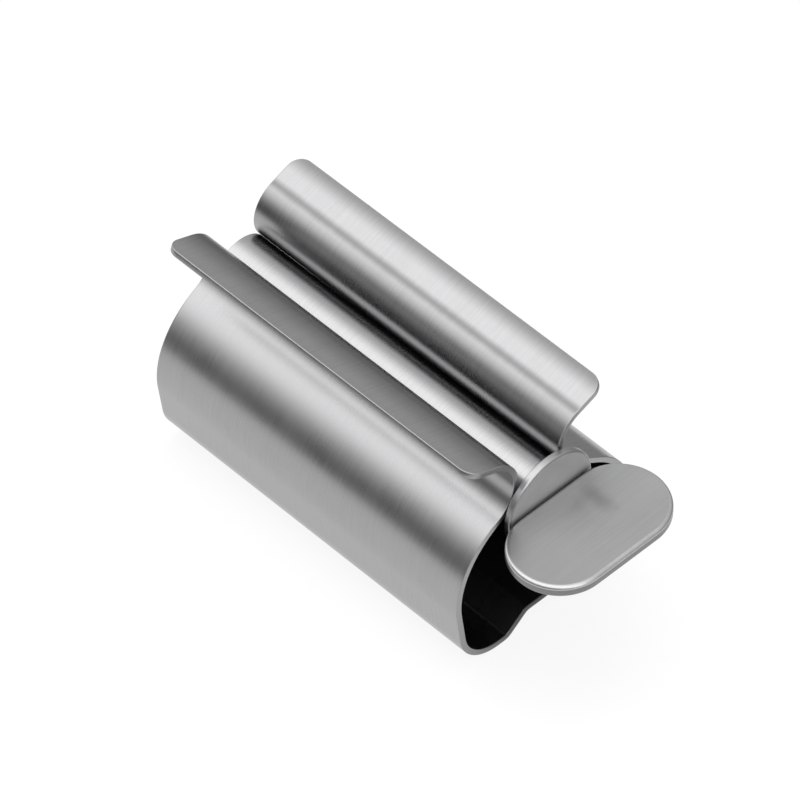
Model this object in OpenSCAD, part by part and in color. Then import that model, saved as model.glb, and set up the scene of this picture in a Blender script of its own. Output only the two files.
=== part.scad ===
// Toothpaste tube squeezer: a sheet steel housing and a loose winding key.
// X runs along the key towards its thumb plate, Y from the front lip to the
// rear wing, and Z up. The origin is the middle of the underside. Sizes are mm.

/* [Housing sheet] */
// Length of the housing along the key
body_len = 63; // [52:0.5:75]
// Width across the two rolls
body_w = 35.4; // [34:0.1:38]
// Thickness of the steel sheet
sheet_t = 1; // [0.8:0.05:1.2]
// Radius of the rounded corners at the ends of the lip and the wing
corner_r = 2.5; // [1:0.1:4]

/* [Rolls and bottom groove] */
// Bend radius where the floor turns up into the sides
roll_r = 7.2; // [5:0.1:7.5]
// Slope of the sides just above that bend, in degrees
roll_a = 82; // [78:0.5:86]
// Bend radius of the bulging sides and shoulders
shoulder_r = 14.5; // [12:0.1:15]
// Height of the groove's underside above the resting face
groove_h = 3; // [2:0.1:3.4]
// Distance from the middle plane to the corner that the crown's bend rounds
crown_w = 3.5; // [3:0.1:4.2]
// Distance from the middle plane to the corner that the mouth's bend rounds
groove_w = 7.3; // [6.9:0.1:7.6]
// Bend radius at the groove's four corners
groove_r = 1.8; // [1.2:0.1:2]

/* [Front lip] */
// Distance from the middle plane to the face of the front nose
front_nose_y = 5.7; // [5.2:0.1:6.4]
// Height of the front nose's bend centre
front_nose_z = 32.8; // [31.5:0.1:34]
// Bend radius of the front nose
front_nose_r = 6.4; // [5.6:0.1:6.8]
// Slope of the front neck in degrees
front_neck_a = 30; // [27:1:33]
// Slope of the front lip in degrees
front_lip_a = 21; // [14:1:26]
// Distance from the middle plane to the lip's free edge
front_lip_y = 15.3; // [14:0.1:17]

/* [Rear wing] */
// Distance from the middle plane to the face of the rear nose
rear_nose_y = 2.3; // [2:0.1:3]
// Height of the rear nose's bend centre
rear_nose_z = 33.2; // [32.5:0.1:34.2]
// Bend radius of the rear nose
rear_nose_r = 4.6; // [4:0.1:5.4]
// Slope of the rear neck in degrees
rear_neck_a = 37; // [34:1:40]
// Slope of the rear wing in degrees
rear_wing_a = 25; // [18:1:28]
// Distance from the middle plane to the wing's free edge
rear_wing_y = 11.4; // [10.5:0.1:14]

/* [Winding tube] */
// Outside diameter of the winding tube
tube_d = 10.4; // [9.6:0.1:11.2]
// Wall of the winding tube
tube_wall = 0.8; // [0.6:0.05:1.2]
// Width of the slot that takes the crimped end of a toothpaste tube
slot_w = 1.7; // [1.2:0.1:2.4]
// Angle of the slot behind straight up, in degrees: at 90 it lies level with the thumb plate
slot_turn = 90; // [60:5:120]
// Closed length of tube between the slot and the open end
slot_far = 2.4; // [1.5:0.1:4]
// Closed length of tube between the slot and the stop disc
slot_near = 1.6; // [1.2:0.1:3]

/* [Stop disc and thumb plate] */
// Diameter of the stop disc
disc_d = 16.6; // [15.6:0.1:18]
// Thickness of the stop disc
disc_t = 1.2; // [0.9:0.1:1.6]
// Rounding of the stop disc's rim
disc_edge = 0.3; // [0.15:0.05:0.4]
// Length of the thumb plate across the key
plate_w = 27.5; // [24:0.1:32]
// Depth of the thumb plate along the key
plate_d = 15.5; // [13:0.1:17]
// Thickness of the thumb plate
plate_t = 2.1; // [1.4:0.1:2.4]
// Rounding of the thumb plate's edge
plate_edge = 0.4; // [0.2:0.05:0.55]
// Radius of each weld tack under the plate
tack_r = 0.9; // [0.6:0.05:1.2]
// Distance of each weld tack in from the end of the plate's straight edge
tack_in = 1.6; // [1.2:0.1:2.4]

/* [Clearances] */
// Running gap between the winding tube and the rear nose
rear_gap = 0.3; // [0.25:0.05:0.6]
// Gap between the winding tube and the front nose
front_gap = 1.7; // [1.2:0.1:2]
// Gap between the housing's end and the stop disc
end_gap = 0.25; // [0.15:0.05:0.5]

/* [Hidden] */
$fn = 96;
// How far a cutting shape reaches past the face that it opens
cut = 1;
// Bends stand this far proud on their outside, so that flats cross them and don't only touch them
proud = 0.002;
// Corner rounds start this far inside the sheet's edges, for the same reason
corner_bite = 0.02;
half_t = sheet_t / 2;
tube_r = tube_d / 2;
disc_r = disc_d / 2;
// The straight side of the sheet's centre line, out from the middle plane
side_y = body_w / 2 - half_t;
// Places along the key, from the housing's open end
disc_x = body_len + end_gap;
plate_x = disc_x + disc_t;
total_len = plate_x + plate_d;
// The frame's origin is in the middle of the whole length
shift_x = -total_len / 2;

// One side of the sheet above the floor, as [nose_y, nose_z, nose_r, neck_a, flare_a, edge_y]
FRONT = [front_nose_y, front_nose_z, front_nose_r, front_neck_a, front_lip_a, front_lip_y];
REAR = [rear_nose_y, rear_nose_z, rear_nose_r, rear_neck_a, rear_wing_a, rear_wing_y];

function unit(a) = [cos(a), sin(a)];
// Corner that a bend about centre c rounds, where the sheet comes in and leaves at these headings
function corner_at(c, r, h_in, h_out) =
    c + r / cos((h_out - h_in) / 2) * unit((h_in + h_out) / 2 + (h_out > h_in ? -90 : 90));
// Heading of a side's neck, which climbs back towards the middle plane
function neck_heading(s) = 180 - s[3];
// Centre of a side's nose bend, measured outwards from the middle plane
function nose_centre(s) = [s[0] + half_t + s[2], s[1]];
// Point where the neck runs into the nose bend
function neck_end(s) = nose_centre(s) - s[2] * [sin(s[3]), cos(s[3])];
// Length of neck from the nose bend down to the shoulder bend
function neck_run(s) = (side_y - shoulder_r * (1 - sin(s[3])) - neck_end(s)[0]) / cos(s[3]);
// Centre of the shoulder bend, which touches the neck and the full width
function shoulder_centre(s) =
    neck_end(s) - neck_run(s) * unit(neck_heading(s)) - shoulder_r * [sin(s[3]), cos(s[3])];
// Point where the sloping lower side runs into the shoulder bend
function side_end(s) = shoulder_centre(s) + shoulder_r * unit(roll_a - 90);
// Point where the nose bend runs out into the flare
function flare_start(s) = nose_centre(s) + s[2] * unit(s[4] + 90);
// Free edge of the lip or wing, on the sheet's centre line
function free_edge(s) =
    let(q = flare_start(s))
    [s[5], q[1] + (s[5] - q[0]) * tan(s[4])];

// Corners of half of the sheet's centre line, from the groove's crown to the free edge
function half_path(s) = [
    [0, groove_h + half_t],
    [crown_w, groove_h + half_t],
    [groove_w, half_t],
    [side_end(s)[0] - (side_end(s)[1] - half_t) / tan(roll_a), half_t],
    corner_at(shoulder_centre(s), shoulder_r, roll_a, neck_heading(s)),
    corner_at(nose_centre(s), s[2], neck_heading(s), s[4]),
    free_edge(s)
];
// Bend radius at each inner corner of half_path, on the centre line
function half_radii(s) = [groove_r, groove_r, roll_r, shoulder_r, s[2]];

// Direction of travel from point a to point b, in degrees
function heading(a, b) = atan2(b[1] - a[1], b[0] - a[0]);
// Turn at corner i of path p, positive to the left, and 0 at both ends
function turn_at(p, i) =
    i == 0 || i == len(p) - 1 ? 0 : heading(p[i], p[i + 1]) - heading(p[i - 1], p[i]);
// Length that the bend at corner i takes from each flat beside it
function setback(p, r, i) = turn_at(p, i) == 0 ? 0 : r[i - 1] * tan(abs(turn_at(p, i)) / 2);
// Length of flat sheet that is left between corners i and i + 1
function flat_len(p, r, i) = norm(p[i + 1] - p[i]) - setback(p, r, i) - setback(p, r, i + 1);

// Centre of the winding tube: clear of both nose bends by their named gaps
rear_c = nose_centre(REAR);
front_c = [-nose_centre(FRONT)[0], nose_centre(FRONT)[1]];
rear_reach = rear_nose_r + half_t + rear_gap + tube_r;
front_reach = front_nose_r + half_t + front_gap + tube_r;
span = norm(rear_c - front_c);
along = (front_reach * front_reach - rear_reach * rear_reach + span * span) / (2 * span);
drop = sqrt(front_reach * front_reach - along * along);
span_dir = (rear_c - front_c) / span;
key_axis = front_c + along * span_dir + drop * [span_dir[1], -span_dir[0]];

// Length of sheet over which a flat and a bend of radius r lie in each other
function lap(r) = sqrt(2 * r * proud);

// Section of bent sheet from flat i of path p to its end, drawn from the start of that flat along +X
module bent_strip(p, r, i = 0) {
    flat = flat_len(p, r, i);
    lap_in = i == 0 ? 0 : lap(r[i - 1]);
    lap_out = i == len(p) - 2 ? 0 : lap(r[i]);
    translate([-lap_in, -half_t])
        square([lap_in + flat + lap_out, sheet_t]);
    if (i < len(p) - 2) {
        turn = turn_at(p, i + 1);
        bend_y = r[i] * sign(turn);
        translate([flat, bend_y]) {
            bend_section(r[i], turn);
            rotate(turn)
                translate([0, -bend_y])
                    bent_strip(p, r, i + 1);
        }
    }
}

// Section of one bend about the origin: a ring cut square to the sheet, a lap past both of its ends
module bend_section(r, turn) {
    reach = r + sheet_t;
    lap_a = sign(turn) * lap(r) / r * 180 / PI;
    intersection() {
        difference() {
            circle(r + half_t + proud);
            circle(r - half_t + proud);
        }
        rotate(-lap_a)
            translate([0, -reach])
                square([reach, 2 * reach]);
        rotate(turn + lap_a)
            translate([-reach, -reach])
                square([reach, 2 * reach]);
    }
}

// Section of one half of the sheet, from the middle plane to the free edge
module half_section(s) {
    p = half_path(s);
    translate(p[0])
        bent_strip(p, half_radii(s));
}

// Waste at one blank corner, with the sheet flat, the free edge at Y 0 and the end at X 0
module corner_waste() {
    centre = corner_r - corner_bite;
    translate([0, 0, -sheet_t])
        linear_extrude(2 * sheet_t)
            difference() {
                translate([-cut, -centre])
                    square([centre + cut, centre + cut]);
                translate([centre, -centre])
                    circle(corner_r);
            }
}

// Both corners of the free edge of a side that flares towards +Y
module edge_corners(s) {
    edge = free_edge(s);
    translate([0, edge[0], edge[1]])
        rotate([s[4], 0, 0]) {
            corner_waste();
            translate([body_len, 0, 0])
                mirror([1, 0, 0])
                    corner_waste();
        }
}

// The bent sheet housing with its groove, rolls, necks, noses, lip and wing
module housing() {
    color("silver")
        translate([shift_x, 0, 0])
            difference() {
                rotate([90, 0, 90])
                    linear_extrude(body_len) {
                        half_section(REAR);
                        mirror([1, 0])
                            half_section(FRONT);
                    }
                edge_corners(REAR);
                mirror([0, 1, 0])
                    edge_corners(FRONT);
            }
}

// Puts children on the key's axis, with their Z running along +X
module on_key_axis(x) {
    translate([shift_x + x, key_axis[0], key_axis[1]])
        rotate([90, 0, 90])
            children();
}

// The tube that the crimped end is wound on, open at its far end
module winding_tube() {
    slot_len = disc_x - slot_far - slot_near;
    color("gainsboro")
        on_key_axis(0)
            difference() {
                cylinder(h = disc_x, r = tube_r);
                translate([0, 0, -cut])
                    cylinder(h = disc_x + 2 * cut, r = tube_r - tube_wall);
                rotate([0, 0, 90 - slot_turn])
                    translate([0, -slot_w / 2, slot_far])
                        slot_waste(slot_len);
            }
}

// Round-ended slot through one wall, along Z and out along X
module slot_waste(length) {
    r = slot_w / 2;
    translate([0, 0, r])
        cube([tube_r + cut, slot_w, length - slot_w]);
    for (z = [r, length - r])
        translate([0, r, z])
            rotate([0, 90, 0])
                cylinder(h = tube_r + cut, r = r);
}

// Half section of a plate with a rounded rim: reach is its half width and t its thickness
module rim_profile(reach, t, edge) {
    square([reach - edge, t]);
    translate([0, edge])
        square([reach, t - 2 * edge]);
    for (z = [edge, t - edge])
        translate([reach - edge, z])
            circle(edge);
}

// The disc that keeps the key from sliding through the housing
module stop_disc() {
    color("darkgray")
        on_key_axis(disc_x)
            rotate_extrude()
                rim_profile(disc_r, disc_t, disc_edge);
}

// Straight middle of the thumb plate, a bar with rounded long edges
module plate_middle(length, reach) {
    translate([0, length / 2, 0])
        rotate([90, 0, 0])
            linear_extrude(length) {
                rim_profile(reach, plate_t, plate_edge);
                mirror([1, 0])
                    rim_profile(reach, plate_t, plate_edge);
            }
}

// One round end of the thumb plate, on the +Y side
module plate_end(reach) {
    rotate_extrude(angle = 180)
        rim_profile(reach, plate_t, plate_edge);
}

// The oval plate that finger and thumb turn, edge on to the stop disc
module thumb_plate() {
    reach = plate_d / 2;
    middle = plate_w - plate_d;
    color("darkgray")
        translate([shift_x + plate_x + reach, key_axis[0], key_axis[1] - plate_t / 2]) {
            plate_middle(middle, reach);
            translate([0, middle / 2, 0])
                plate_end(reach);
            translate([0, -middle / 2, 0])
                mirror([0, 1, 0])
                    plate_end(reach);
        }
}

// Weld tacks in the corner between the plate's underside and the disc
module weld_tacks() {
    reach = plate_d / 2;
    middle = plate_w - plate_d;
    tack_y = middle / 2 - tack_in;
    color("gray")
        translate([shift_x + plate_x, key_axis[0], key_axis[1] - plate_t / 2])
            for (y = [-tack_y, tack_y])
                difference() {
                    translate([0, y, 0])
                        rotate([0, 45, 0])
                            sphere(tack_r);
                    translate([-2 * tack_r, y - tack_r - cut, -2 * tack_r])
                        cube([2 * tack_r, 2 * (tack_r + cut), 4 * tack_r]);
                    translate([reach, 0, 0])
                        plate_middle(middle, reach);
                }
}

housing();
winding_tube();
stop_disc();
thumb_plate();
weld_tacks();
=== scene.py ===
"""Looks for a toothpaste tube squeezer: a bent sheet steel housing and its winding key."""

import logging
import math
from dataclasses import dataclass, field
from enum import Enum
from typing import Any, Callable, Optional, Sequence, Union

import bmesh
import bpy
import numpy as np
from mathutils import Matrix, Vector


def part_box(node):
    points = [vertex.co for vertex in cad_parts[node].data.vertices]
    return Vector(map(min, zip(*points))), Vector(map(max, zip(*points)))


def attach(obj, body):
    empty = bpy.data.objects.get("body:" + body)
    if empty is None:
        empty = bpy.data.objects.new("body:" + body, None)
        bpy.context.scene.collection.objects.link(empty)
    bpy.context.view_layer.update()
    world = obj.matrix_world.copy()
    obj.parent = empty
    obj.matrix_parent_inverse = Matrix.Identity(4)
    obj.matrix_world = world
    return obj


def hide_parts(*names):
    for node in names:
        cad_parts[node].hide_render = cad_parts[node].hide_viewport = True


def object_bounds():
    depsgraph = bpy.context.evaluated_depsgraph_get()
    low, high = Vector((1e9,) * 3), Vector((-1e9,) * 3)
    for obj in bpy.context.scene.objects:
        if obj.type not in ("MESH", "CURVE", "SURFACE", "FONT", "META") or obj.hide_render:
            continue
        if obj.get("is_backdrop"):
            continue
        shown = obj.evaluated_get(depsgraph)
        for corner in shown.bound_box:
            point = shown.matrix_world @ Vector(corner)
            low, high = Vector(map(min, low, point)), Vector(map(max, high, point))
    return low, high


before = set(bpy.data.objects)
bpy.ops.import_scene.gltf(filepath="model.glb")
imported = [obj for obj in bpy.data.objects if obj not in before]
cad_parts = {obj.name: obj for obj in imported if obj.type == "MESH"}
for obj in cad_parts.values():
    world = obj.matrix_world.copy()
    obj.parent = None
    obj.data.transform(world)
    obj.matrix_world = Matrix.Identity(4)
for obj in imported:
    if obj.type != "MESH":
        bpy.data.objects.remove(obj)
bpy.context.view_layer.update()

log = logging.getLogger("squeezer")

MM = 0.001
# Lengths up to this, in metres, count as none
TINY = 1e-9
HOUSING_BODY = "housing_body"
KEY_BODY = "key"
WHITE = (1.0, 1.0, 1.0, 1.0)


class Grain(Enum):
    """Which way the brushing of a finish runs, as noise scales along X, Y and Z per millimetre."""

    ROUND_THE_BENDS = (7.0, 0.16, 0.16)
    ALONG_THE_PLATE = (6.0, 0.12, 0.5)
    ACROSS_THE_DISC = (0.5, 0.35, 5.0)
    NONE = (1.6, 1.6, 1.6)


class Patches(Enum):
    """Uneven patches in a finish, as noise scales along X, Y and Z per millimetre."""

    CLOUDS = (0.11, 0.14, 0.14)
    PITS = (3.0, 3.0, 3.0)
    # Noise for the ragged sides of the painted dark reflection of the disc
    RAGGED_EDGE = (0.5, 0.5, 0.5)
    ALONG_A_LINE = (0.35, 0.0, 0.0)


class Run(Enum):
    """Which way a mark runs, as the axes that its distance is measured along."""

    ALONG_X = (0.0, 1.0, 1.0)
    ALONG_Y = (1.0, 0.0, 1.0)


# Shader maths


class Wire:
    """A shader socket, on which Python's operators add Math nodes."""

    def __init__(self, graph: "Graph", socket: bpy.types.NodeSocket) -> None:
        """Keeps the graph that the socket lies in."""
        self.graph = graph
        self.socket = socket

    def _math(self, operation: str, *values: "Operand") -> "Wire":
        """Adds a Math node.

        Args:
            operation: the Math node's operation.
            values: its inputs, in order.

        Returns:
            The node's result.
        """
        return self.graph.node("ShaderNodeMath", {"operation": operation}, dict(enumerate(values)))

    def __add__(self, other: "Operand") -> "Wire":
        """Sum."""
        return self._math("ADD", self, other)

    __radd__ = __add__

    def __mul__(self, other: "Operand") -> "Wire":
        """Product."""
        return self._math("MULTIPLY", self, other)

    __rmul__ = __mul__

    def __sub__(self, other: "Operand") -> "Wire":
        """Difference."""
        return self._math("SUBTRACT", self, other)

    def __rsub__(self, other: "Operand") -> "Wire":
        """Difference from a number."""
        return self._math("SUBTRACT", other, self)

    def __truediv__(self, other: "Operand") -> "Wire":
        """Quotient."""
        return self._math("DIVIDE", self, other)

    def __rtruediv__(self, other: "Operand") -> "Wire":
        """Quotient of a number and this value."""
        return self._math("DIVIDE", other, self)

    def maximum(self, other: "Operand") -> "Wire":
        """The larger of two values."""
        return self._math("MAXIMUM", self, other)

    def angle_from(self, other: "Operand") -> "Wire":
        """Angle whose tangent is this value over the other, in radians."""
        return self._math("ARCTAN2", self, other)

    def smooth(self, low: float, high: float) -> "Wire":
        """Rises smoothly from 0 at low to 1 at high."""
        return self.graph.node(
            "ShaderNodeMapRange",
            {"interpolation_type": "SMOOTHSTEP"},
            {"Value": self, "From Min": low, "From Max": high},
        )


Operand = Union[Wire, float, int]
Setting = Union[Wire, float, int, Sequence[float]]


class Graph:
    """The node tree of a material or of the world."""

    def __init__(self, tree: bpy.types.NodeTree) -> None:
        """Empties the tree."""
        self.tree = tree
        tree.nodes.clear()

    def node(
        self,
        kind: str,
        settings: Optional[dict[str, Any]] = None,
        inputs: Optional[dict[Union[str, int], Setting]] = None,
        out: Union[str, int] = 0,
    ) -> Wire:
        """Adds any node.

        Args:
            kind: the node's type.
            settings: its properties, and "stops" for a colour ramp, which are set first.
            inputs: values or wires for its sockets, by name or number.
            out: the output to give back, by name or number.

        Returns:
            That output.
        """
        made = self.tree.nodes.new(kind)
        for name, value in (settings or {}).items():
            if name == "stops":
                self._set_stops(made.color_ramp, value)
            else:
                setattr(made, name, value)
        for name, value in (inputs or {}).items():
            if isinstance(value, Wire):
                self.tree.links.new(value.socket, made.inputs[name])
            else:
                made.inputs[name].default_value = value
        return Wire(self, made.outputs[out] if made.outputs else made.inputs[0])

    @staticmethod
    def _set_stops(ramp: bpy.types.ColorRamp, stops: Sequence[tuple[float, float]]) -> None:
        """Sets a ramp's stops.

        Args:
            ramp: the ramp.
            stops: the place and the grey of each stop, in order.
        """
        ramp.interpolation = "B_SPLINE"
        while len(ramp.elements) < len(stops):
            ramp.elements.new(0.5)
        for element, (place, _) in zip(ramp.elements, stops):
            element.position = place
        for element, (_, grey) in zip(ramp.elements, stops):
            element.color = (grey, grey, grey, 1.0)

    def here(self) -> Wire:
        """The surface point in the object's own frame."""
        return self.node("ShaderNodeTexCoord", out="Object")

    def part(self, kind: str, source: Wire, name: str) -> Wire:
        """One named part of a wire, through a separating node."""
        return self.node(kind, None, {0: source}, out=name)

    def vector(
        self, operation: str, first: Setting, second: Setting, out: Union[str, int] = 0
    ) -> Wire:
        """Works on two vectors.

        Args:
            operation: the Vector Math node's operation.
            first: a vector or wire.
            second: a vector or wire.
            out: the output to give back.

        Returns:
            The node's result.
        """
        return self.node(
            "ShaderNodeVectorMath", {"operation": operation}, {0: first, 1: second}, out=out
        )

    def scaled(self, first: Setting, factor: Operand) -> Wire:
        """A vector or colour times a factor."""
        return self.node(
            "ShaderNodeVectorMath", {"operation": "SCALE"}, {0: first, "Scale": factor}
        )

    def blend_colour(self, factor: Operand, first: Setting, second: Setting) -> Wire:
        """Mixes two colours.

        Args:
            factor: 0 for the first and 1 for the second.
            first: a colour or wire.
            second: a colour or wire.

        Returns:
            The mixed colour.
        """
        return self.node(
            "ShaderNodeMix",
            {"data_type": "RGBA"},
            {"Factor": factor, 6: first, 7: second},
            out=2,
        )

    def noise(self, cells: Union[Grain, Patches], detail: float) -> Wire:
        """Noise in the object's own frame, from 0 to 1.

        Args:
            cells: how many noise cells a millimetre holds along X, Y and Z.
            detail: octaves of finer noise.

        Returns:
            The noise.
        """
        stretched = self.vector("MULTIPLY", self.here(), tuple(scale / MM for scale in cells.value))
        return self.node(
            "ShaderNodeTexNoise",
            {"noise_dimensions": "3D"},
            {"Vector": stretched, "Scale": 1.0, "Detail": detail, "Roughness": 0.6},
        )


# Finishes


@dataclass(frozen=True)
class Streak:
    """A soft darker line on the steel, for a tool's mark and for painted shade and painted dark
    reflections.

    It passes through place, has faded out at the distance reach, and takes the share depth of the
    steel's lightness at its middle. Its sides wander by wobble.
    """

    place: tuple[float, float, float]
    reach: float
    depth: float
    wobble: float = 0.0
    run: Run = Run.ALONG_X

    def shade(self, graph: Graph) -> Wire:
        """Darkens the steel along the line.

        Args:
            graph: the material's graph.

        Returns:
            A factor for the colour, 1 away from the line.
        """
        mask = self.run.value
        flat = graph.vector("MULTIPLY", graph.here(), mask)
        centre = tuple(part * keep for part, keep in zip(self.place, mask))
        away = graph.vector("DISTANCE", flat, centre, out="Value")
        if self.wobble:
            away = away + (graph.noise(Patches.ALONG_A_LINE, detail=2.0) - 0.5) * self.wobble
        return 1.0 - (1.0 - away.smooth(0.0, self.reach)) * self.depth


@dataclass(frozen=True)
class DiscReflectionMark:
    """A painted dark reflection of the disc on a plate.

    Distances from its place count narrowing times along each axis, so it is longer along X.
    """

    place: tuple[float, float, float]
    radius: float = 2.3 * MM
    narrowing: tuple[float, float, float] = (0.5, 1.0, 1.0)
    raggedness: float = 0.5
    darkness: float = 0.38
    strength: float = 0.7
    roughening: float = 0.05

    def mask(self, graph: Graph) -> Wire:
        """Finds the mark on the surface.

        Args:
            graph: the material's graph.

        Returns:
            1 in the mark's middle and 0 away from it.
        """
        centre = tuple(part * scale for part, scale in zip(self.place, self.narrowing))
        here = graph.vector("MULTIPLY", graph.here(), self.narrowing)
        away = graph.vector("DISTANCE", here, centre, out="Value")
        ragged = (graph.noise(Patches.RAGGED_EDGE, detail=1.0) - 0.5) * (self.raggedness * self.radius)
        return 1.0 - (away + ragged).smooth(0.0, self.radius)


@dataclass(frozen=True)
class SteelFinish:
    """A bare stainless steel surface with its grain, stains and marks, and any painted shade,
    painted highlight or painted dark reflection that it carries.

    The grain has a strength of grain_depth in the bump, whose height is relief, and changes the
    colour by grain_contrast. Below shade_below the steel keeps only the share shaded_share of its
    lightness as painted shade, and it changes to that over the height shade_fade.
    """

    name: str
    colour: tuple[float, float, float]
    roughness: float
    grain: Grain
    grain_depth: float = 0.35
    grain_contrast: float = 0.10
    stain: float = 0.06
    unevenness: float = 0.10
    relief: float = 0.02 * MM
    pitting: float = 0.25
    # A painted dark reflection, of the disc on the plate
    disc_reflection: Optional[DiscReflectionMark] = None
    streaks: tuple[Streak, ...] = ()
    # Painted shade: below a given height the colour keeps only this share of its lightness
    shaded_share: float = 1.0
    shade_below: float = 29.0 * MM
    shade_fade: float = 3.0 * MM

    def build(self) -> bpy.types.Material:
        """Builds the material.

        Returns:
            The finished material.
        """
        material = bpy.data.materials.new(self.name)
        material.use_nodes = True
        graph = Graph(material.node_tree)
        grain = graph.noise(self.grain, detail=3.0)
        cloud = graph.noise(Patches.CLOUDS, detail=2.0)
        pits = graph.noise(Patches.PITS, detail=1.0)
        base = graph.scaled(self.colour, self._shade(graph, grain, cloud))
        roughness = self.roughness + (grain - 0.5) * self.unevenness
        roughness = roughness + (cloud - 0.5) * self.unevenness
        # Painted dark reflection: darker colour and more roughness in its mask
        if self.disc_reflection is not None:
            mark = self.disc_reflection.mask(graph)
            darkened_colour = tuple((1.0 - self.disc_reflection.darkness) * part for part in self.colour)
            base = graph.blend_colour(mark * self.disc_reflection.strength, base, (*darkened_colour, 1.0))
            roughness = roughness + mark * self.disc_reflection.roughening
        surface = {
            "Strength": self.grain_depth,
            "Distance": self.relief,
            "Height": grain + pits * self.pitting,
        }
        steel = {
            "Base Color": base,
            "Metallic": 1.0,
            "Roughness": roughness,
            "Normal": graph.node("ShaderNodeBump", None, surface),
        }
        shader = graph.node("ShaderNodeBsdfPrincipled", None, steel)
        graph.node("ShaderNodeOutputMaterial", None, {"Surface": shader})
        return material

    def _shade(self, graph: Graph, grain: Wire, cloud: Wire) -> Wire:
        """Works out how light the steel is from place to place.

        Args:
            graph: the material's graph.
            grain: the brushing's noise.
            cloud: the stains' noise.

        Returns:
            A factor for the colour.
        """
        shade = 1.0 + (grain - 0.5) * (2.0 * self.grain_contrast)
        shade = shade + (cloud - 0.5) * (2.0 * self.stain)
        for streak in self.streaks:
            shade = shade * streak.shade(graph)
        # Painted shade, darker below a given height
        if self.shaded_share < 1.0:
            height = graph.part("ShaderNodeSeparateXYZ", graph.here(), "Z")
            below = 1.0 - height.smooth(self.shade_below, self.shade_below + self.shade_fade)
            shade = shade * (1.0 - below * (1.0 - self.shaded_share))
        return shade


@dataclass(frozen=True)
class Finishes:
    """Every finish on the squeezer."""

    sheet: SteelFinish = SteelFinish(
        "sheet_steel", (0.365, 0.365, 0.37), 0.29, Grain.ROUND_THE_BENDS, grain_contrast=0.14
    )
    # Painted shade: cut edges get darker towards the groove in the base, where the key shades them
    cut_edge: SteelFinish = SteelFinish(
        "sheared_edge",
        (0.34, 0.34, 0.345),
        0.36,
        Grain.NONE,
        grain_depth=0.5,
        streaks=(Streak((0.0, 0.0, 0.0), reach=24.0 * MM, depth=0.85),),
    )
    tube: SteelFinish = SteelFinish(
        "tube_steel", (0.40, 0.40, 0.405), 0.26, Grain.ROUND_THE_BENDS, grain_contrast=0.17
    )
    disc: SteelFinish = SteelFinish("disc_steel", (0.70, 0.70, 0.705), 0.42, Grain.ACROSS_THE_DISC)
    # The rim is darker low down on the side that faces front at rest
    disc_rim: SteelFinish = SteelFinish(
        "disc_rim_steel",
        (0.40, 0.40, 0.405),
        0.34,
        Grain.NONE,
        grain_depth=0.5,
        stain=0.3,
        streaks=(Streak((0.0, -9.5 * MM, 22.0 * MM), reach=10.0 * MM, depth=0.7),),
    )
    plate_rim: SteelFinish = SteelFinish(
        "rim_steel", (0.22, 0.22, 0.225), 0.36, Grain.NONE, grain_depth=0.5
    )
    weld: SteelFinish = SteelFinish(
        "weld_steel", (0.28, 0.27, 0.26), 0.5, Grain.NONE, grain_depth=0.9, stain=0.25
    )

    @staticmethod
    def inside(streaks: tuple[Streak, ...]) -> SteelFinish:
        """The sheet's inner face: painted shade below the noses, full brightness on the lip and
        wing.

        Args:
            streaks: the tool's mark, and the painted shade and painted dark reflections on it.

        Returns:
            The finish.
        """
        return SteelFinish(
            "sheet_inside",
            (0.37, 0.37, 0.375),
            0.29,
            Grain.ROUND_THE_BENDS,
            grain_depth=0.25,
            grain_contrast=0.17,
            streaks=streaks,
            # Painted shade inside the housing below the noses
            shaded_share=0.30,
        )

    @staticmethod
    def highlight_edge_finish(corner_shade: Streak) -> SteelFinish:
        """The rounded edge of the thumb plate, brighter as a painted highlight.

        Args:
            corner_shade: the painted shade along the plate's edge where it meets the disc.

        Returns:
            The finish.
        """
        # A brighter colour than the plate's faces: a painted highlight on the rounding
        return SteelFinish(
            "painted_highlight_edge", (0.48, 0.48, 0.485), 0.32, Grain.NONE, streaks=(corner_shade,)
        )

    @staticmethod
    def plate(disc_reflection: DiscReflectionMark) -> SteelFinish:
        """The thumb plate's faces.

        Args:
            disc_reflection: the painted dark reflection of the disc on the plate, near the disc.

        Returns:
            The finish.
        """
        return SteelFinish(
            "plate_steel",
            (0.37, 0.37, 0.375),
            0.36,
            Grain.ALONG_THE_PLATE,
            grain_contrast=0.12,
            disc_reflection=disc_reflection,
        )


# Mesh building


def make_object(
    name: str,
    points: np.ndarray,
    faces: Sequence[Sequence[int]],
    materials: Sequence[bpy.types.Material],
    slots: Optional[Sequence[int]] = None,
) -> bpy.types.Object:
    """Makes a smooth-shaded mesh object.

    Args:
        name: the object's name.
        points: its vertices, in metres.
        faces: its faces.
        materials: its material slots.
        slots: the slot of each face, or None for the first.

    Returns:
        The object, linked to the scene.
    """
    mesh = bpy.data.meshes.new(name)
    mesh.from_pydata([tuple(point) for point in points], [], [tuple(face) for face in faces])
    for material in materials:
        mesh.materials.append(material)
    mesh.polygons.foreach_set("use_smooth", [True] * len(mesh.polygons))
    if slots is not None:
        mesh.polygons.foreach_set("material_index", list(slots))
    mesh.validate()
    work = bmesh.new()
    work.from_mesh(mesh)
    bmesh.ops.recalc_face_normals(work, faces=work.faces)
    work.to_mesh(mesh)
    work.free()
    return link_object(name, mesh)


def link_object(name: str, data: bpy.types.ID) -> bpy.types.Object:
    """Makes an object and links it to the scene.

    Args:
        name: the object's name.
        data: its mesh, camera or light.

    Returns:
        The object.
    """
    made = bpy.data.objects.new(name, data)
    bpy.context.scene.collection.objects.link(made)
    return made


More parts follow.
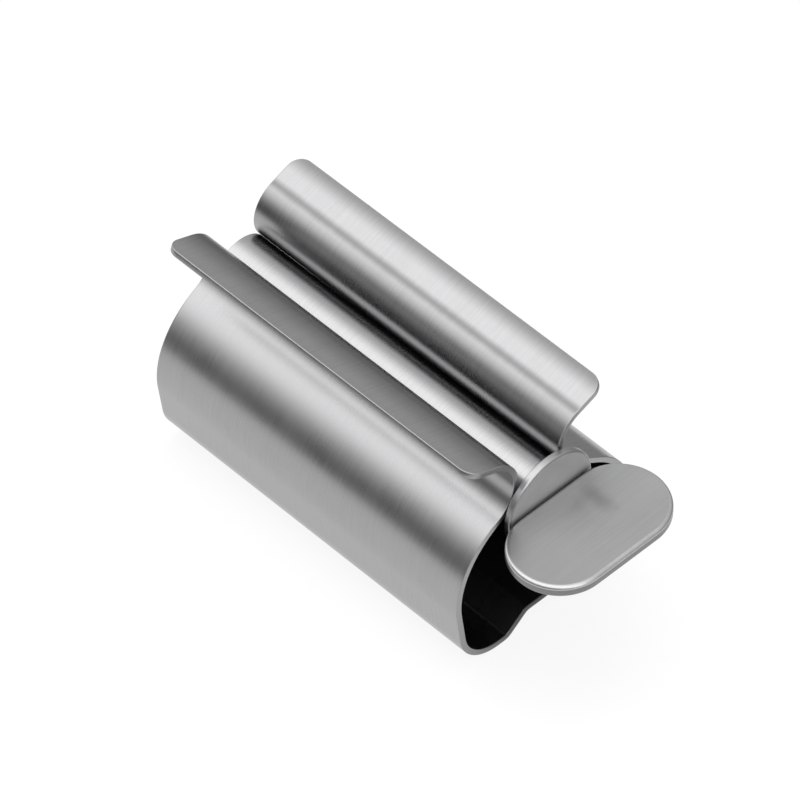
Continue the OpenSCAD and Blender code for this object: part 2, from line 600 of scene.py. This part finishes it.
def boundary_loops(faces: Sequence[Sequence[int]]) -> list[list[int]]:
    """Finds the open borders of a set of faces.

    Args:
        faces: faces that all turn the same way.

    Returns:
        Each border as vertex numbers, in the order in which its faces run.
    """
    directed = {
        (face[k], face[(k + 1) % len(face)]) for face in faces for k in range(len(face))
    }
    after = {a: b for a, b in directed if (b, a) not in directed}
    loops = []
    while after:
        start = next(iter(after))
        loop = [start]
        step = after.pop(start)
        while step != start:
            loop.append(step)
            step = after.pop(step)
        loops.append(loop)
    return loops


def outward_of(border: np.ndarray, wrap: float = 0.0) -> np.ndarray:
    """Directions out of an outline at its points.

    Args:
        border: the outline's points, with the metal on the left.
        wrap: the distance round a layout that closes on itself, or 0.

    Returns:
        A unit vector for each point.
    """
    along = np.roll(border, -1, axis=0) - np.roll(border, 1, axis=0)
    if wrap:
        along[:, 0] = (along[:, 0] + wrap / 2) % wrap - wrap / 2
    out = np.stack([along[:, 1], -along[:, 0]], axis=1)
    return out / np.maximum(np.linalg.norm(out, axis=1), TINY)[:, None]


def band(first: Sequence[int], second: Sequence[int]) -> list[tuple[int, ...]]:
    """Faces between two rings of vertex numbers.

    Args:
        first: one ring.
        second: the other, with its points in the same order.

    Returns:
        A quad for each step round the rings.
    """
    steps = zip(first, [*first[1:], first[0]], second, [*second[1:], second[0]])
    return [(a_next, a, b, b_next) for a, a_next, b, b_next in steps]


def rounding(half: float, edge: float, steps: int) -> list[tuple[float, float]]:
    """Section of the rounding of a sheet's cut edge, from its face down to its rim.

    Args:
        half: half of the sheet's thickness.
        edge: the rounding's radius.
        steps: the straight pieces in it.

    Returns:
        How far out each point stands, and its level above the sheet's middle.
    """
    turns = [math.pi / 2 * k / steps for k in range(steps + 1)]
    return [(edge * math.sin(turn), half - edge * (1 - math.cos(turn))) for turn in turns]


def mirrored(levels: list[tuple[float, float]]) -> list[tuple[float, float]]:
    """The same section on the sheet's other face, from the rim on."""
    return [(out, -level) for out, level in reversed(levels)]


@dataclass
class ThickSheet:
    """Sheet metal, laid out flat, that a rule then bends into place.

    The layout stops short of the true outline by the rounding of the cut edges. Where it closes
    on itself, wrap is the distance round it.
    """

    layout: np.ndarray
    faces: list[tuple[int, ...]]
    place: Callable[[np.ndarray, np.ndarray], np.ndarray]
    thickness: float
    edge: float
    wrap: float = 0.0
    steps: int = 3

    def build(self, name: str, finishes: Sequence[bpy.types.Material]) -> bpy.types.Object:
        """Builds both faces of the sheet and the rounded rim between them.

        Args:
            name: the object's name.
            finishes: the materials of the left face, the right face and the cut edges.

        Returns:
            The closed piece.
        """
        count = len(self.layout)
        half = self.thickness / 2
        rows = [self.place(self.layout, np.full(count, half))]
        rows.append(self.place(self.layout, np.full(count, -half)))
        faces = list(self.faces)
        faces += [tuple(count + v for v in reversed(face)) for face in self.faces]
        slots = [0] * len(self.faces) + [1] * len(self.faces)
        total = 2 * count
        for loop in boundary_loops(self.faces):
            border = self.layout[loop]
            outward = outward_of(border, self.wrap)
            rings = [loop]
            upper = rounding(half, self.edge, self.steps)[1:]
            for out, level in upper + mirrored(upper):
                moved = border + outward * out
                rows.append(self.place(moved, np.full(len(loop), level)))
                rings.append(list(range(total, total + len(loop))))
                total += len(loop)
            rings.append([count + v for v in loop])
            for first, second in zip(rings, rings[1:]):
                faces += band(first, second)
                slots += [2] * len(loop)
        return make_object(name, np.vstack(rows), faces, finishes, slots)


def grid_faces(index: np.ndarray) -> list[tuple[int, ...]]:
    """Faces of a grid of vertex numbers, whose first axis runs along the layout's first.

    Args:
        index: the vertex number at each place of the grid.

    Returns:
        A quad for each cell, without cells that have no area.
    """
    faces = []
    for i in range(index.shape[0] - 1):
        for j in range(index.shape[1] - 1):
            face = (index[i, j], index[i + 1, j], index[i + 1, j + 1], index[i, j + 1])
            corners = tuple(dict.fromkeys(int(v) for v in face))
            if len(corners) > 2:
                faces.append(corners)
    return faces


def spread(low: float, high: float, step: float, rim: float) -> np.ndarray:
    """Even places from low to high, with one more close to each end.

    Args:
        low: the first place.
        high: the last place.
        step: about the distance between places.
        rim: the distance of the extra places from the ends.

    Returns:
        The places in order.
    """
    inner = np.linspace(low + rim, high - rim, max(2, round((high - low) / step)))
    return np.concatenate([[low], inner, [high]])


# Housing


@dataclass(frozen=True)
class Flare:
    """One side of the sheet above its base, in metres and radians.

    The nose comes as close as nose_y to the middle plane, with its bend's centre at nose_z, and
    the free edge ends edge_y from that plane.
    """

    nose_y: float
    nose_z: float
    nose_r: float
    neck_slope: float
    flare_slope: float
    edge_y: float


@dataclass
class BentLine:
    """A centre line of straights and bends, read by its length."""

    corners: np.ndarray
    radii: Sequence[float]
    starts: list[float] = field(default_factory=list)
    pieces: list[tuple[np.ndarray, float, float]] = field(default_factory=list)

    def __post_init__(self) -> None:
        """Works out where each straight and each bend starts."""
        corners = self.corners
        legs = np.diff(corners, axis=0)
        lengths = np.linalg.norm(legs, axis=1)
        ways = legs / lengths[:, None]
        headings = np.arctan2(legs[:, 1], legs[:, 0])
        turns = (np.diff(headings) + math.pi) % (2 * math.pi) - math.pi
        setbacks = np.concatenate([[0.0], np.array(self.radii) * np.tan(np.abs(turns) / 2), [0.0]])
        here = 0.0
        for i, way in enumerate(ways):
            start = corners[i] + way * setbacks[i]
            self.starts.append(here)
            self.pieces.append((start, headings[i], 0.0))
            here += lengths[i] - setbacks[i] - setbacks[i + 1]
            if i < len(turns):
                self.starts.append(here)
                end = corners[i + 1] - way * setbacks[i + 1]
                self.pieces.append((end, headings[i], math.copysign(1 / self.radii[i], turns[i])))
                here += abs(turns[i]) * self.radii[i]
        self.length = here

    def at(self, lengths: np.ndarray) -> tuple[np.ndarray, np.ndarray]:
        """Reads the line.

        Args:
            lengths: distances from its start.

        Returns:
            The points and the unit normals on the line's left.
        """
        which = np.clip(np.searchsorted(self.starts, lengths, side="right") - 1, 0, None)
        points, normals = [], []
        for length, k in zip(lengths, which):
            start, heading, curve = self.pieces[k]
            run = length - self.starts[k]
            turned = heading + run * curve
            if curve:
                step = np.array(
                    [
                        (math.sin(turned) - math.sin(heading)) / curve,
                        (math.cos(heading) - math.cos(turned)) / curve,
                    ]
                )
            else:
                step = run * np.array([math.cos(heading), math.sin(heading)])
            points.append(start + step)
            normals.append((-math.sin(turned), math.cos(turned)))
        return np.array(points), np.array(normals)


@dataclass
class Housing:
    """The bent sheet: base groove, rolls, necks, noses, front lip and rear wing.

    The tool's line, the wing's bend, which carries a painted dark reflection, and the underside of
    its nose, which carries painted shade, are given by their distance along the section from the
    wing's free edge, and the lip's bend, with its painted dark reflection, by its distance from the
    lip's free edge.
    """

    finishes: Finishes
    sheet: float = 1.0 * MM
    width: float = 35.4 * MM
    roll_r: float = 7.2 * MM
    roll_slope: float = math.radians(82)
    shoulder_r: float = 14.5 * MM
    groove_h: float = 3.0 * MM
    # Half of the groove's width, at its crown and at its mouth
    crown: float = 3.5 * MM
    mouth: float = 7.3 * MM
    groove_r: float = 1.8 * MM
    corner_r: float = 2.5 * MM
    edge: float = 0.14 * MM
    step: float = 0.35 * MM
    # Shares of half of the sheet's length
    step_across: float = 0.08
    end_row: float = 0.003
    corner_rows: int = 14
    tool_line: float = 5.8 * MM
    # Places of a painted dark reflection on the wing's bend, of painted shade under the nose and of
    # a painted dark reflection on the lip's bend
    shaded_bend: float = 8.5 * MM
    under_nose: float = 15.3 * MM
    lip_bend: float = 6.6 * MM
    # Both flares follow the photograph more closely than the solids, by less than 1 mm
    front: Flare = Flare(
        nose_y=5.55 * MM,
        nose_z=32.8 * MM,
        nose_r=6.4 * MM,
        neck_slope=math.radians(30),
        flare_slope=math.radians(21),
        edge_y=15.3 * MM,
    )
    rear: Flare = Flare(
        nose_y=2.22 * MM,
        nose_z=33.2 * MM,
        nose_r=5.4 * MM,
        neck_slope=math.radians(35),
        flare_slope=math.radians(21),
        edge_y=11.7 * MM,
    )

    def half_corners(self, side: Flare) -> tuple[np.ndarray, list[float]]:
        """Corners of one half of the section, from the groove's crown to the free edge.

        Args:
            side: the flare of that half.

        Returns:
            The corners, and the bend radius at each inner one.
        """
        half = self.sheet / 2
        side_y = self.width / 2 - half
        # Unit vectors square to the neck and up along it
        square = np.array([math.sin(side.neck_slope), math.cos(side.neck_slope)])
        climb = np.array([-math.cos(side.neck_slope), math.sin(side.neck_slope)])
        nose = np.array([side.nose_y + half + side.nose_r, side.nose_z])
        neck_end = nose - side.nose_r * square
        reach = side_y - self.shoulder_r * (1 - square[0]) - neck_end[0]
        shoulder = neck_end - climb * reach / square[1] - self.shoulder_r * square
        lower = shoulder + self.shoulder_r * np.array(
            [math.sin(self.roll_slope), -math.cos(self.roll_slope)]
        )
        roll = np.array([lower[0] - (lower[1] - half) / math.tan(self.roll_slope), half])
        climb_heading = math.pi - side.neck_slope
        flare_start = nose + side.nose_r * np.array(
            [-math.sin(side.flare_slope), math.cos(side.flare_slope)]
        )
        free_z = flare_start[1] + (side.edge_y - flare_start[0]) * math.tan(side.flare_slope)
        corners = [
            (self.crown, self.groove_h + half),
            (self.mouth, half),
            roll,
            self._corner(shoulder, self.shoulder_r, self.roll_slope, climb_heading),
            self._corner(nose, side.nose_r, climb_heading, side.flare_slope),
            (side.edge_y, free_z),
        ]
        radii = [self.groove_r, self.groove_r, self.roll_r, self.shoulder_r, side.nose_r]
        return np.array(corners), radii

    @staticmethod
    def _corner(centre: np.ndarray, radius: float, way_in: float, way_out: float) -> np.ndarray:
        """The corner that a bend rounds.

        Args:
            centre: the bend's centre.
            radius: its radius.
            way_in: the heading before it, in radians.
            way_out: the heading after it.

        Returns:
            The point where the two straights would meet.
        """
        middle = (way_in + way_out) / 2 + (-math.pi / 2 if way_out > way_in else math.pi / 2)
        away = radius / math.cos((way_out - way_in) / 2)
        return centre + away * np.array([math.cos(middle), math.sin(middle)])

    def line(self) -> BentLine:
        """The whole section's centre line, from the lip's free edge to the wing's."""
        front, front_radii = self.half_corners(self.front)
        rear, rear_radii = self.half_corners(self.rear)
        corners = np.vstack([(front * (-1, 1))[::-1], rear])
        return BentLine(corners, front_radii[::-1] + rear_radii)

    def build(self) -> bpy.types.Object:
        """Bends the blank and dresses it.

        Returns:
            The housing.
        """
        low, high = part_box("housing")
        line = self.line()
        reach = (high.x - low.x) / 2 - self.edge
        middle_x = (high.x + low.x) / 2
        round_r = self.corner_r - self.edge
        places = self._rows(line.length, round_r)
        across = spread(-1.0, 1.0, self.step_across, self.end_row)
        layout = []
        for s in places:
            near = min(s - self.edge, line.length - self.edge - s)
            short = max(0.0, round_r - near)
            inset = round_r - math.sqrt(max(0.0, round_r**2 - short**2))
            layout += [(s, x) for x in across * (reach - inset)]

        def place(flat: np.ndarray, level: np.ndarray) -> np.ndarray:
            """Bends layout points into the section.

            Args:
                flat: places along the section's centre line and across the sheet.
                level: heights above the sheet's middle.

            Returns:
                The points in the frame.
            """
            points, normals = line.at(flat[:, 0])
            section = points + normals * level[:, None]
            return np.column_stack([flat[:, 1] + middle_x, section])

        index = np.arange(len(layout)).reshape(len(places), len(across))
        sheet = ThickSheet(np.array(layout), grid_faces(index), place, self.sheet, self.edge)
        inside = self.finishes.inside(self._streaks(line)).build()
        made = sheet.build(
            "housing_sheet",
            [inside, self.finishes.sheet.build(), self.finishes.cut_edge.build()],
        )
        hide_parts("housing")
        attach(made, HOUSING_BODY)
        return made

    def _streaks(self, line: BentLine) -> tuple[Streak, ...]:
        """The tool's mark, and the painted shade and painted dark reflections on the upper faces of
        the wing and the lip.

        Args:
            line: the section's centre line.

        Returns:
            The tool's line; painted dark reflections at the wing's free edge and on the wing's
            bend;
            painted shade on the underside of its nose; and a painted dark reflection on the lip's
            bend.
        """
        end = line.length
        back = np.array([self.tool_line, 0.0, self.shaded_bend, self.under_nose])
        points, normals = line.at(np.append(end - back, self.lip_bend))
        tool, edge, bend, under, lip = [(0.0, *spot) for spot in points + normals * self.sheet / 2]
        return (
            Streak(tool, reach=1.15 * MM, depth=0.46, wobble=0.35 * MM),
            # Painted dark reflections at the wing's free edge and on its bend, painted shade under
            # the nose, and a painted dark reflection on the lip's bend
            Streak(edge, reach=3.3 * MM, depth=0.56),
            Streak(bend, reach=3.6 * MM, depth=0.36),
            Streak(under, reach=2.6 * MM, depth=0.85),
            Streak(lip, reach=5.5 * MM, depth=0.45),
        )

    def _rows(self, length: float, round_r: float) -> np.ndarray:
        """Places of the layout's rows, closer together at the rounded corners.

        Args:
            length: the centre line's length.
            round_r: the corner radius of the layout.

        Returns:
            The places from one free edge to the other.
        """
        ease = 1 - np.cos(np.linspace(0.0, math.pi / 2, self.corner_rows))
        start = self.edge + ease * round_r
        count = round((length - 2 * start[-1]) / self.step)
        middle = np.linspace(start[-1], length - start[-1], count)
        return np.concatenate([start[:-1], middle, (length - start[:-1])[::-1]])


# Winding key


@dataclass
class WindingKey:
    """The slotted tube, its stop disc, the thumb plate and the tacks that join them."""

    finishes: Finishes
    wall: float = 0.8 * MM
    slot_w: float = 1.7 * MM
    # Turn of the slot from the tube's top towards the rear, and the metal left beyond its ends
    slot_turn: float = math.radians(90)
    slot_far: float = 2.4 * MM
    slot_near: float = 1.6 * MM
    tube_edge: float = 0.12 * MM
    tube_step: float = 0.8 * MM
    tube_end_row: float = 0.02 * MM
    slot_rows: int = 40
    slot_end_rows: int = 10
    tube_columns: int = 96
    # Share of the way round the tube
    slot_side_column: float = 0.002
    disc_edge: float = 0.3 * MM
    disc_points: int = 160
    plate_edge: float = 0.6 * MM
    plate_end_points: int = 65
    rounding_steps: int = 6
    # A ring this many roundings inside a plate's outline keeps the shading of its face flat
    face_ring: float = 1.3
    # Middle of the painted dark reflection of the disc: how far it lies from the plate's middle
    # towards the disc and the rear
    reflection_in: float = 2.6 * MM
    reflection_back: float = 4.4 * MM
    # Reach and depth of the painted shade along the plate's edge where it meets the disc
    corner_shade_reach: float = 1.1 * MM
    corner_shade_depth: float = 0.9
    # How much of a bead's radius its hollows take, the turn of its waves in radians per millimetre
    # along Y and Z, and the turn at which those along Y start
    bead_lumps: float = 0.10
    bead_waves: tuple[float, float] = (5.1, 4.3)
    bead_start: float = 2.3

    def __post_init__(self) -> None:
        """Reads the key's places from the frame."""
        self.tube_low, self.tube_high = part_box("winding_tube")
        self.disc_low, self.disc_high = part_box("stop_disc")
        self.plate_low, self.plate_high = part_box("thumb_plate")
        self.tack_low, self.tack_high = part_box("weld_tacks")
        self.axis_y = (self.disc_low.y + self.disc_high.y) / 2
        self.axis_z = (self.disc_low.z + self.disc_high.z) / 2

    def build(self) -> list[bpy.types.Object]:
        """Builds every piece of the key.

        Returns:
            The pieces.
        """
        pieces = [self.tube(), self.disc(), self.plate(), self.tacks()]
        for piece in pieces:
            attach(piece, KEY_BODY)
        return pieces

    def tube(self) -> bpy.types.Object:
        """The winding tube, with its long round-ended slot.

        Returns:
            The tube.
        """
        mid = (self.tube_high.y - self.tube_low.y) / 2 - self.wall / 2
        girth = 2 * math.pi * mid
        rows, openings = self._slotted_rows()
        columns = spread(0.0, 1.0, 1 / self.tube_columns, self.slot_side_column)
        start = mid * (math.pi / 2 - self.slot_turn)
        layout, index = [], np.zeros((len(columns), len(rows)), int)
        for j, (x, opening) in enumerate(zip(rows, openings)):
            for i, part in enumerate(columns):
                if i == len(columns) - 1 and opening == 0.0:
                    index[i, j] = index[0, j]
                    continue
                index[i, j] = len(layout)
                layout.append((start + opening + part * (girth - 2 * opening), x))

        def place(flat: np.ndarray, level: np.ndarray) -> np.ndarray:
            """Rolls layout points round the key's axis.

            Args:
                flat: places round the tube and along it.
                level: heights above the wall's middle.

            Returns:
                The points in the frame.
            """
            angle = flat[:, 0] / mid
            out = mid + level
            return np.column_stack(
                [
                    flat[:, 1],
                    self.axis_y + out * np.cos(angle),
                    self.axis_z + out * np.sin(angle),
                ]
            )

        sheet = ThickSheet(
            np.array(layout), grid_faces(index), place, self.wall, self.tube_edge, wrap=girth
        )
        skin = self.finishes.tube.build()
        made = sheet.build("winding_tube_skin", [skin, skin, self.finishes.cut_edge.build()])
        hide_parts("winding_tube")
        return made

    def _slotted_rows(self) -> tuple[np.ndarray, list[float]]:
        """Rows of the tube's layout, closer together at the slot's round ends.

        Returns:
            The rows' places along X, and half of the slot's width at each.
        """
        slot_r = self.slot_w / 2 + self.tube_edge
        slot_0 = self.tube_low.x + self.slot_far - self.tube_edge
        slot_1 = self.tube_high.x - self.slot_near + self.tube_edge
        far_end = self.tube_low.x + self.tube_edge
        near_end = self.tube_high.x - self.tube_edge
        ease = slot_r * (1 - np.cos(np.linspace(0.0, math.pi / 2, self.slot_end_rows)))
        rows = np.concatenate(
            [
                spread(far_end, slot_0, self.tube_step, self.tube_end_row)[:-1],
                slot_0 + ease,
                np.linspace(slot_0 + slot_r, slot_1 - slot_r, self.slot_rows)[1:-1],
                (slot_1 - ease)[::-1],
                spread(slot_1, near_end, self.tube_step, self.tube_end_row)[1:],
            ]
        )
        openings = []
        for x in rows:
            inside = min(x - slot_0, slot_1 - x)
            short = max(0.0, slot_r - inside)
            openings.append(math.sqrt(slot_r**2 - short**2) if inside > TINY else 0.0)
        return rows, openings

    def disc(self) -> bpy.types.Object:
        """The stop disc, with its rim rounded.

        Returns:
            The disc.
        """
        radius = (self.disc_high.y - self.disc_low.y) / 2
        ring = np.linspace(0.0, 2 * math.pi, self.disc_points + 1)[:-1]
        outline = np.column_stack([np.cos(ring), np.sin(ring)]) * radius
        made = self._plate_of(
            "stop_disc_plate",
            outline,
            self.disc_edge,
            self.disc_high.x - self.disc_low.x,
            lambda flat, level: np.column_stack(
                [
                    (self.disc_low.x + self.disc_high.x) / 2 + level,
                    self.axis_y + flat[:, 0],
                    self.axis_z + flat[:, 1],
                ]
            ),
            [self.finishes.disc, self.finishes.disc_rim, self.finishes.disc_rim],
        )
        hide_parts("stop_disc")
        return made

    def plate(self) -> bpy.types.Object:
        """The oval thumb plate.

        Returns:
            The plate.
        """
        depth = self.plate_high.x - self.plate_low.x
        length = self.plate_high.y - self.plate_low.y
        radius = depth / 2
        straight = length - depth
        turn = np.linspace(-math.pi / 2, math.pi / 2, self.plate_end_points)
        end = np.column_stack([-radius * np.sin(turn), straight / 2 + radius * np.cos(turn)])
        outline = np.vstack([-end, end])
        centre_x = (self.plate_low.x + self.plate_high.x) / 2
        # Painted dark reflection of the disc on the plate's top
        disc_reflection = DiscReflectionMark((centre_x - self.reflection_in, self.axis_y + self.reflection_back, self.plate_high.z))
        corner = (self.plate_low.x, 0.0, self.plate_high.z)
        # Painted shade along the plate's edge where it meets the disc
        corner_shade = Streak(corner, self.corner_shade_reach, self.corner_shade_depth, run=Run.ALONG_Y)
        made = self._plate_of(
            "thumb_plate_oval",
            outline,
            self.plate_edge,
            self.plate_high.z - self.plate_low.z,
            lambda flat, level: np.column_stack(
                [
                    centre_x + flat[:, 0],
                    self.axis_y + flat[:, 1],
                    (self.plate_low.z + self.plate_high.z) / 2 + level,
                ]
            ),
            [self.finishes.plate(disc_reflection), self.finishes.highlight_edge_finish(corner_shade), self.finishes.plate_rim],
        )
        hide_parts("thumb_plate")
        return made

    def _plate_of(
        self,
        name: str,
        outline: np.ndarray,
        edge: float,
        thickness: float,
        place: Callable[[np.ndarray, np.ndarray], np.ndarray],
        finishes: Sequence[SteelFinish],
    ) -> bpy.types.Object:
        """A flat plate with rounded edges.

        Args:
            name: the object's name.
            outline: its outline, with the metal on the left.
            edge: the rounding of its edges.
            thickness: its thickness.
            place: puts outline points and levels in the frame.
            finishes: the finishes of its faces, of its upper rounding, and of the rest of its rim.

        Returns:
            The closed plate.
        """
        count = len(outline)
        out = outward_of(outline)
        half = thickness / 2
        upper = [(-self.face_ring * edge, half)]
        for stand, level in rounding(half, edge, self.rounding_steps):
            upper.append((stand - edge, level))
        rows = [
            place(outline + out * stand, np.full(count, level))
            for stand, level in upper + mirrored(upper)
        ]
        rings = np.arange(len(rows) * count).reshape(len(rows), count).tolist()
        band_slots = [0] + [1] * (len(upper) - 2) + [2] * (len(upper) - 1) + [0]
        faces = [tuple(rings[0])]
        slots = [0]
        for slot, first, second in zip(band_slots, rings, rings[1:]):
            faces += band(second, first)
            slots += [slot] * count
        faces.append(tuple(rings[-1]))
        slots.append(0)
        materials = [finish.build() for finish in finishes]
        return make_object(name, np.vstack(rows), faces, materials, slots)

    def tacks(self) -> bpy.types.Object:
        """The two weld beads in the corner under the plate.

        Returns:
            Both beads as one piece.
        """
        radius = self.tack_high.x - self.tack_low.x
        beads = bmesh.new()
        for y in (self.tack_low.y + radius, self.tack_high.y - radius):
            ball = bmesh.ops.create_icosphere(beads, subdivisions=4, radius=radius)
            corner = Vector((self.disc_high.x, y, self.plate_low.z))
            for vert in ball["verts"]:
                vert.co = corner + self._bead_point(vert.co)
        mesh = bpy.data.meshes.new("weld_beads")
        beads.to_mesh(mesh)
        beads.free()
        mesh.materials.append(self.finishes.weld.build())
        mesh.polygons.foreach_set("use_smooth", [True] * len(mesh.polygons))
        made = link_object("weld_beads", mesh)
        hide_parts("weld_tacks")
        return made

    def _bead_point(self, ball: Vector) -> Vector:
        """Shapes a point of a bead: lumpy, flat on the disc and close under the rounded plate.

        Args:
            ball: the point on a ball about the corner of disc and plate.

        Returns:
            The point on the bead, from that corner.
        """
        y_wave, z_wave = self.bead_waves
        wave = math.sin(y_wave * ball.y / MM + self.bead_start) * math.cos(z_wave * ball.z / MM)
        spot = ball * (1 - self.bead_lumps * (1 + wave) / 2)
        spot.x = max(0.0, spot.x)
        if spot.z > 0:
            short = self.plate_edge - min(spot.x, self.plate_edge)
            spot.z = self.plate_edge - math.sqrt(max(0.0, self.plate_edge**2 - short**2))
        return spot


# Studio


@dataclass
class Studio:
    """Camera, floor, an overhead lamp and a tunnel of soft light that runs along the squeezer.

    The floor is small, so that the steel reflects the darker studio beyond it.
    """

    azimuth: float = math.radians(45.905)
    elevation: float = math.radians(47.748)
    distance: float = 1.088
    aim: tuple[float, float, float] = (-7.1 * MM, 0.2 * MM, 21.8 * MM)
    frame_width: float = 115.94 * MM
    sensor: float = 36.0
    nearest: float = 0.01
    farthest: float = 50.0
    # Direction round the X axis in degrees, 0 straight up and positive to +Y, and its brightness
    tunnel: tuple[tuple[float, float], ...] = (
        (-180, 0.95),
        (-130, 0.95),
        (-112, 0.70),
        (-98, 0.14),
        (-84, 0.14),
        (-74, 0.30),
        (-59, 0.92),
        (-45, 2.10),
        (-8, 2.20),
        (8, 1.80),
        (30, 0.72),
        (58, 0.84),
        (82, 0.56),
        (100, 0.30),
        (125, 0.30),
        (145, 0.70),
        (180, 0.95),
    )
    # The ramp holds greys up to 1, so the brightnesses go in as shares of this
    tunnel_peak: float = 3.0
    floor_grey: tuple[float, float, float, float] = (0.65, 0.65, 0.65, 1.0)
    # Share of plain white in what is seen of the floor
    floor_glow: float = 0.88
    floor_drop: float = 0.02 * MM
    floor_x: float = 0.17
    floor_front: float = 0.125
    floor_back: float = 0.06
    lamp_at: tuple[float, float, float] = (-0.12, 0.12, 1.1)
    lamp_aim: tuple[float, float, float] = (0.0, 0.0, 0.02)
    lamp_size: tuple[float, float] = (0.9, 0.7)
    lamp_power: float = 9.0

    def build(self) -> None:
        """Builds the camera, the floor and the light."""
        self.camera()
        self.floor()
        self.world()
        self.lamp()
        view = bpy.context.scene.view_settings
        view.view_transform = "Standard"

    def camera(self) -> None:
        """Sets the camera at the photograph's viewing angle."""
        back = Vector(
            (
                math.sin(self.azimuth) * math.cos(self.elevation),
                -math.cos(self.azimuth) * math.cos(self.elevation),
                math.sin(self.elevation),
            )
        )
        data = bpy.data.cameras.new("camera")
        data.sensor_width = self.sensor
        data.lens = self.sensor * self.distance / self.frame_width
        data.clip_start = self.nearest
        data.clip_end = self.farthest
        made = link_object("camera", data)
        made.location = Vector(self.aim) + back * self.distance
        made.rotation_euler = back.to_track_quat("Z", "Y").to_euler()
        bpy.context.scene.camera = made

    def floor(self) -> None:
        """A plain white floor that keeps a faint shadow."""
        left, right = -self.floor_x, self.floor_x
        front, back = -self.floor_front, self.floor_back
        level = float(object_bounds()[0][2]) - self.floor_drop
        spots = [(left, front), (right, front), (right, back), (left, back)]
        corners = np.array([(*spot, level) for spot in spots])
        material = bpy.data.materials.new("floor_white")
        material.use_nodes = True
        graph = Graph(material.node_tree)
        lit = graph.node("ShaderNodeBsdfDiffuse", None, {"Color": self.floor_grey})
        white = graph.node("ShaderNodeEmission", None, {"Color": WHITE})
        glow = self._seen(graph) * self.floor_glow
        surface = graph.node("ShaderNodeMixShader", None, {0: glow, 1: lit, 2: white})
        graph.node("ShaderNodeOutputMaterial", None, {"Surface": surface})
        make_object("floor", corners, [(0, 1, 2, 3)], [material])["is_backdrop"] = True

    @staticmethod
    def _seen(graph: Graph) -> Wire:
        """1 where a camera, glossy or transmission ray looks, and 0 for light that only falls."""
        parts = [
            graph.node("ShaderNodeLightPath", out=name)
            for name in ("Is Camera Ray", "Is Glossy Ray", "Is Transmission Ray")
        ]
        return parts[0].maximum(parts[1]).maximum(parts[2])

    def world(self) -> None:
        """The tunnel of light, which the camera itself sees as plain white."""
        world = bpy.data.worlds.new("studio")
        world.use_nodes = True
        bpy.context.scene.world = world
        graph = Graph(world.node_tree)
        way = graph.node("ShaderNodeTexCoord", out="Generated")
        across = graph.part("ShaderNodeSeparateXYZ", way, "Y")
        turn = across.angle_from(graph.part("ShaderNodeSeparateXYZ", way, "Z"))
        place = turn / (2 * math.pi) + 0.5
        stops = [((angle + 180) / 360, grey / self.tunnel_peak) for angle, grey in self.tunnel]
        light = graph.node("ShaderNodeValToRGB", {"stops": stops}, {"Fac": place})
        strong = graph.scaled(light, self.tunnel_peak)
        camera = graph.node("ShaderNodeLightPath", out="Is Camera Ray")
        colour = graph.blend_colour(camera, strong, WHITE)
        shader = graph.node("ShaderNodeBackground", None, {"Color": colour, "Strength": 1.0})
        graph.node("ShaderNodeOutputWorld", None, {"Surface": shader})

    def lamp(self) -> None:
        """One broad lamp overhead, which gives the floor its soft shadow."""
        data = bpy.data.lights.new("overhead", "AREA")
        data.shape = "RECTANGLE"
        data.size, data.size_y = self.lamp_size
        data.energy = self.lamp_power
        made = link_object("overhead", data)
        made.location = self.lamp_at
        aim = Vector(self.lamp_aim) - Vector(self.lamp_at)
        made.rotation_euler = aim.to_track_quat("-Z", "Y").to_euler()
        made.visible_camera = False
        made.visible_glossy = False


def main() -> None:
    """Builds the squeezer and its studio."""
    logging.basicConfig(level=logging.INFO, format="%(message)s")
    finishes = Finishes()
    pieces = [Housing(finishes).build()]
    pieces += WindingKey(finishes).build()
    Studio().build()
    for piece in pieces:
        log.info("%s: %d faces", piece.name, len(piece.data.polygons))


if __name__ == "__main__":
    main()
